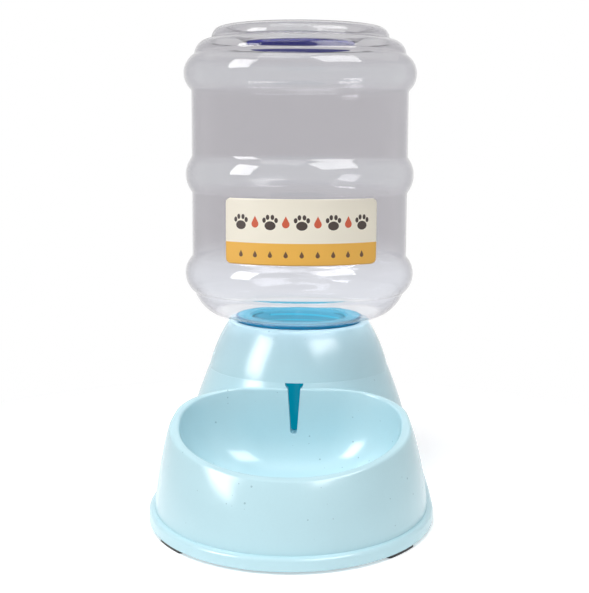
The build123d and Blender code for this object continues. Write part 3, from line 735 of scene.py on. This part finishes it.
def ellipse(graph, across, up, middle, half):
    """1 inside an ellipse of the print, where ((x - a) / h)^2 + ((y - b) / k)^2 < 1, and 0 outside."""
    x = graph.math("DIVIDE", graph.math("SUBTRACT", across, middle[0]), half[0])
    y = graph.math("DIVIDE", graph.math("SUBTRACT", up, middle[1]), half[1])
    return graph.math("LESS_THAN", graph.squares(x, y), 1.0)


def repeated(graph, across, pitch, shift):
    """Distance across from the middle of the nearest repeat of a row, by wrapping it round the pitch."""
    inputs = {0: graph.math("ADD", across, shift), 1: -pitch / 2, 2: pitch / 2}
    return graph.node("ShaderNodeMath", inputs, operation="WRAP").outputs[0]


def paw_row(graph, across, up, height, size):
    """Row of paw prints: a heel, and four toes on an arc over it."""
    heel_half = [share * size for share in HEEL_HALF]
    toe_half = [share * size for share in TOE_HALF]
    found = ellipse(graph, across, up, (0, height - HEEL_DOWN * size), heel_half)
    for turn in TOE_TURNS:
        aside = TOE_SPREAD[0] * size * sin(radians(turn))
        above = (TOE_SPREAD[1] * cos(radians(turn)) - TOE_DOWN) * size
        toe = ellipse(graph, across, up, (aside, height + above), toe_half)
        found = graph.math("MAXIMUM", found, toe)
    return found


def drop_row(graph, across, up, height, size):
    """Row of drops: a disc, and a point on it that narrows evenly as it rises."""
    disc = ellipse(graph, across, up, (0, height), (size, size))
    above = graph.math("SUBTRACT", up, height + POINT_FOOT * size)
    room = graph.scaled(above, -POINT_NARROWING, POINT_HALF * size)
    within = graph.math("LESS_THAN", graph.math("ABSOLUTE", across), room)
    point = graph.math("MULTIPLY", within, graph.math("GREATER_THAN", above, 0.0))
    return graph.math("MAXIMUM", disc, point)


# Rows of the print: figure, pitch, shift, height and size in millimetres, and ink
PRINT_ROWS = [
    (paw_row, 22.0, 0.0, 30.0, 8.5, srgb(64, 50, 44)),
    (drop_row, 22.0, 11.0, 28.5, 2.6, srgb(208, 92, 60)),
    (drop_row, 11.0, 0.0, 6.8, 1.5, srgb(104, 72, 46)),
]


def make_label_print():
    """Printed film: paw prints and drops on cream above, small drops on a band of orange below."""
    material, graph, shader = new_material("label_print_look")
    place = graph.parts(graph.node("ShaderNodeUVMap", uv_map="print").outputs["UV"])
    across, up = place["X"], place["Y"]
    color = graph.mix(graph.math("LESS_THAN", up, BAND_TOP), CREAM, BAND_ORANGE)
    clear_of_ends = graph.math("LESS_THAN", graph.math("ABSOLUTE", across), PRINT_HALF_WIDTH)
    for figure, pitch, shift, height, size, ink in PRINT_ROWS:
        found = figure(graph, repeated(graph, across, pitch, shift), up, height, size)
        color = graph.mix(graph.math("MULTIPLY", found, clear_of_ends), color, ink)
    roughness = graph.scaled(graph.noise(FILM_GRAIN_SCALE), FILM_UNEVEN, FILM_ROUGHNESS)
    graph.fill(shader, {"Base Color": color, "Roughness": roughness})
    return material


PALE_PLASTIC = make_pale_plastic()
CAP_PLASTIC = make_cap_plastic()
CLEAR_PLASTIC = make_clear_plastic()
DISC_BLUE = make_disc_blue()
LABEL_PRINT = make_label_print()
SPRING_STEEL = make_steel()

# Plain moulded pieces: colour, depth of the cloud in it, roughness, depth of the skin in metres, and
# painted light given off
PLUNGER_PLASTIC = moulded("plunger_plastic_look", srgb(225, 228, 230), 0.08, 0.30, 0.00003)
SEAL_RUBBER = moulded("seal_rubber_look", srgb(196, 198, 200), 0.10, 0.50, 0.00004)
PAD_RUBBER = moulded("pad_rubber_look", srgb(26, 27, 30), 0.30, 0.55, 0.00008)
# The thread gives off painted light, for light that comes through the cap behind it
THREAD_PLASTIC = moulded("thread_plastic_look", THREAD_BLUE, 0.10, 0.25, 0.00002, THREAD_PAINTED_GLOW)

# Pieces that keep a CAD solid's shape: its node, name of the piece, look, body and material slot
COPIES = [
    ("base_shell", "base_moulding", PALE_PLASTIC, "base", "pale_plastic"),
    ("tower_collar", "collar_moulding", PALE_PLASTIC, "base", "pale_plastic"),
    ("collar_top", "collar_flat_top", PALE_PLASTIC, "base", "pale_plastic"),
    ("pad_front_left", "pad_fl", PAD_RUBBER, "base", "pad_rubber"),
    ("pad_front_right", "pad_fr", PAD_RUBBER, "base", "pad_rubber"),
    ("pad_rear_left", "pad_rl", PAD_RUBBER, "base", "pad_rubber"),
    ("pad_rear_right", "pad_rr", PAD_RUBBER, "base", "pad_rubber"),
    ("bottle_cap", "cap_moulding", CAP_PLASTIC, "cap", "cap_plastic"),
    ("cap_funnel", "cap_funnel_moulding", CAP_PLASTIC, "cap", "cap_plastic"),
    ("spring_cage", "cage_moulding", CAP_PLASTIC, "cap", "cap_plastic"),
    ("valve_spring", "spring_wire", SPRING_STEEL, "cap", "spring_steel"),
    ("valve_plunger", "plunger_moulding", PLUNGER_PLASTIC, "plunger", "plunger_plastic"),
    ("valve_seal", "seal_ring", SEAL_RUBBER, "plunger", "seal_rubber"),
    ("cap_gasket", "gasket_ring", SEAL_RUBBER, "gasket", "seal_rubber"),
]
for node, name, look, body, slot in COPIES:
    piece = smooth_copy(node, name, look)
    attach(piece, body)

# The clear skin stands for all four slices of the bottle
bottle_piece = make_bottle(CLEAR_PLASTIC)
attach(bottle_piece, "bottle")
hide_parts("bottle", "bottle_shoulder", "bottle_crown", "bottle_neck_tube")

# The thread and the disc are of the bottle's own moulding
thread_piece = make_thread(THREAD_PLASTIC)
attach(thread_piece, "bottle")

disc_piece = make_disc(DISC_BLUE)
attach(disc_piece, "bottle")

label_piece = make_label(LABEL_PRINT)
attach(label_piece, "bottle")
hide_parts("label")


# Studio

# Floor: grey and a faint glow near the object, plain white from the second distance on, in metres, and
# the share of that white that lights the object
FLOOR_GREY = (0.92, 0.92, 0.92, 1)
FLOOR_ROUGHNESS = 0.9
FLOOR_GLOW = 0.30
FLOOR_DISTANCES = (0.16, 0.40)
FLOOR_BOUNCE = 0.45
FLOOR_HALF_WIDTH = 30.0

# Strength of the world's soft light from all round
AMBIENT = 0.37

# Softboxes: name, direction from their target, distance, width and height in metres, power in watts,
# and whether the lamp gives soft light or shines in glossy surfaces
LAMP_TARGET = (0, 0, 0.17)
LAMPS = [
    ("key", (-0.80, -0.41, 0.44), 1.3, 0.45, 0.75, 3.3, "soft"),
    ("key_shine", (-0.77, -0.46, 0.44), 1.25, 0.50, 0.72, 14.0, "shine"),
    ("fill", (0.48, -0.69, 0.54), 1.5, 0.9, 0.9, 3.0, "soft"),
    ("fill_shine", (0.50, -0.45, 0.74), 1.45, 0.95, 0.7, 19.0, "shine"),
    ("above", (-0.14, -0.30, 0.94), 1.3, 0.8, 0.8, 13.0, "soft"),
]

# Camera: level distance from the bottle's axis and height in metres, and turns in degrees
CAMERA_DISTANCE = 0.8484
CAMERA_HEIGHT = 0.2576
CAMERA_AZIMUTH = 2.6
CAMERA_PITCH = 8.07
CAMERA_YAW = 0.231
CAMERA_ROLL = 0.3

# Lens and sensor in millimetres, and how far the camera sees in metres
CAMERA_LENS = 68.3
CAMERA_SENSOR = 36.0
CAMERA_REACH = 100.0


def make_floor():
    """Floor that takes the object's shadow near it, and turns plain white further out."""
    material, graph, shader = new_material("floor_look")
    graph.fill(shader, {
        "Base Color": FLOOR_GREY,
        "Roughness": FLOOR_ROUGHNESS,
        "Specular IOR Level": 0.0,
        "Emission Color": WHITE,
        "Emission Strength": FLOOR_GLOW,
    })
    bounced = graph.node("ShaderNodeLightPath").outputs["Is Diffuse Ray"]
    strength = graph.rest(graph.math("MULTIPLY", bounced, 1.0 - FLOOR_BOUNCE))
    white = graph.node("ShaderNodeEmission", {"Color": WHITE, "Strength": strength})
    distance = graph.node("ShaderNodeVectorMath", {0: graph.place()}, operation="LENGTH").outputs["Value"]
    graph.surface(graph.ramp(distance, *FLOOR_DISTANCES), shader, white)
    half = FLOOR_HALF_WIDTH
    corners = [(-half, -half, 0), (half, -half, 0), (half, half, 0), (-half, half, 0)]
    floor = add_piece("floor", corners, [(0, 1, 2, 3)], material, smooth=False)


def make_world():
    """White to the camera, in gloss and through clear walls, and softer as light from all round."""
    world = bpy.data.worlds.new("studio")
    bpy.context.scene.world = world
    world.use_nodes = True
    graph = Graph(world.node_tree)
    soft = world.node_tree.nodes["Background"]
    graph.fill(soft, {"Color": WHITE, "Strength": AMBIENT})
    white = graph.node("ShaderNodeBackground", {"Color": WHITE, "Strength": 1.0})
    path = graph.node("ShaderNodeLightPath").outputs
    seen = graph.math("ADD", path["Is Camera Ray"], path["Is Transmission Ray"])
    seen = graph.math("ADD", seen, path["Is Glossy Ray"], clamp=True)
    graph.surface(seen, soft, white, output="World Output")


def add_lamp(name, direction, distance, width, height, power, use):
    """Softbox at a distance from the target that faces it, for soft light or for reflections."""
    light = bpy.data.lights.new(name, "AREA")
    light.shape = "RECTANGLE"
    light.size = width
    light.size_y = height
    light.energy = power
    lamp = bpy.data.objects.new(name, light)
    away = Vector(direction).normalized()
    lamp.location = Vector(LAMP_TARGET) + away * distance
    lamp.rotation_euler = away.to_track_quat("Z", "Y").to_euler()
    lamp.visible_diffuse = use == "soft"
    lamp.visible_glossy = use == "shine"
    bpy.context.scene.collection.objects.link(lamp)


def make_camera():
    """Camera on a circle round the bottle's axis, turned to it and then by its yaw, pitch and roll."""
    camera = bpy.data.cameras.new("camera")
    camera.lens = CAMERA_LENS
    camera.sensor_width = CAMERA_SENSOR
    camera.clip_end = CAMERA_REACH
    holder = bpy.data.objects.new("camera", camera)
    azimuth = radians(CAMERA_AZIMUTH)
    place = (CAMERA_DISTANCE * sin(azimuth), AXIS_Y - CAMERA_DISTANCE * cos(azimuth), CAMERA_HEIGHT)
    aim = Matrix.Rotation(azimuth + radians(CAMERA_YAW), 4, "Z")
    aim = aim @ Matrix.Rotation(radians(90 - CAMERA_PITCH), 4, "X")
    aim = aim @ Matrix.Rotation(radians(CAMERA_ROLL), 4, "Z")
    holder.matrix_world = Matrix.Translation(place) @ aim
    bpy.context.scene.collection.objects.link(holder)
    bpy.context.scene.camera = holder


make_floor()
make_world()
for lamp in LAMPS:
    add_lamp(*lamp)
make_camera()
bpy.context.scene.view_settings.view_transform = "Standard"
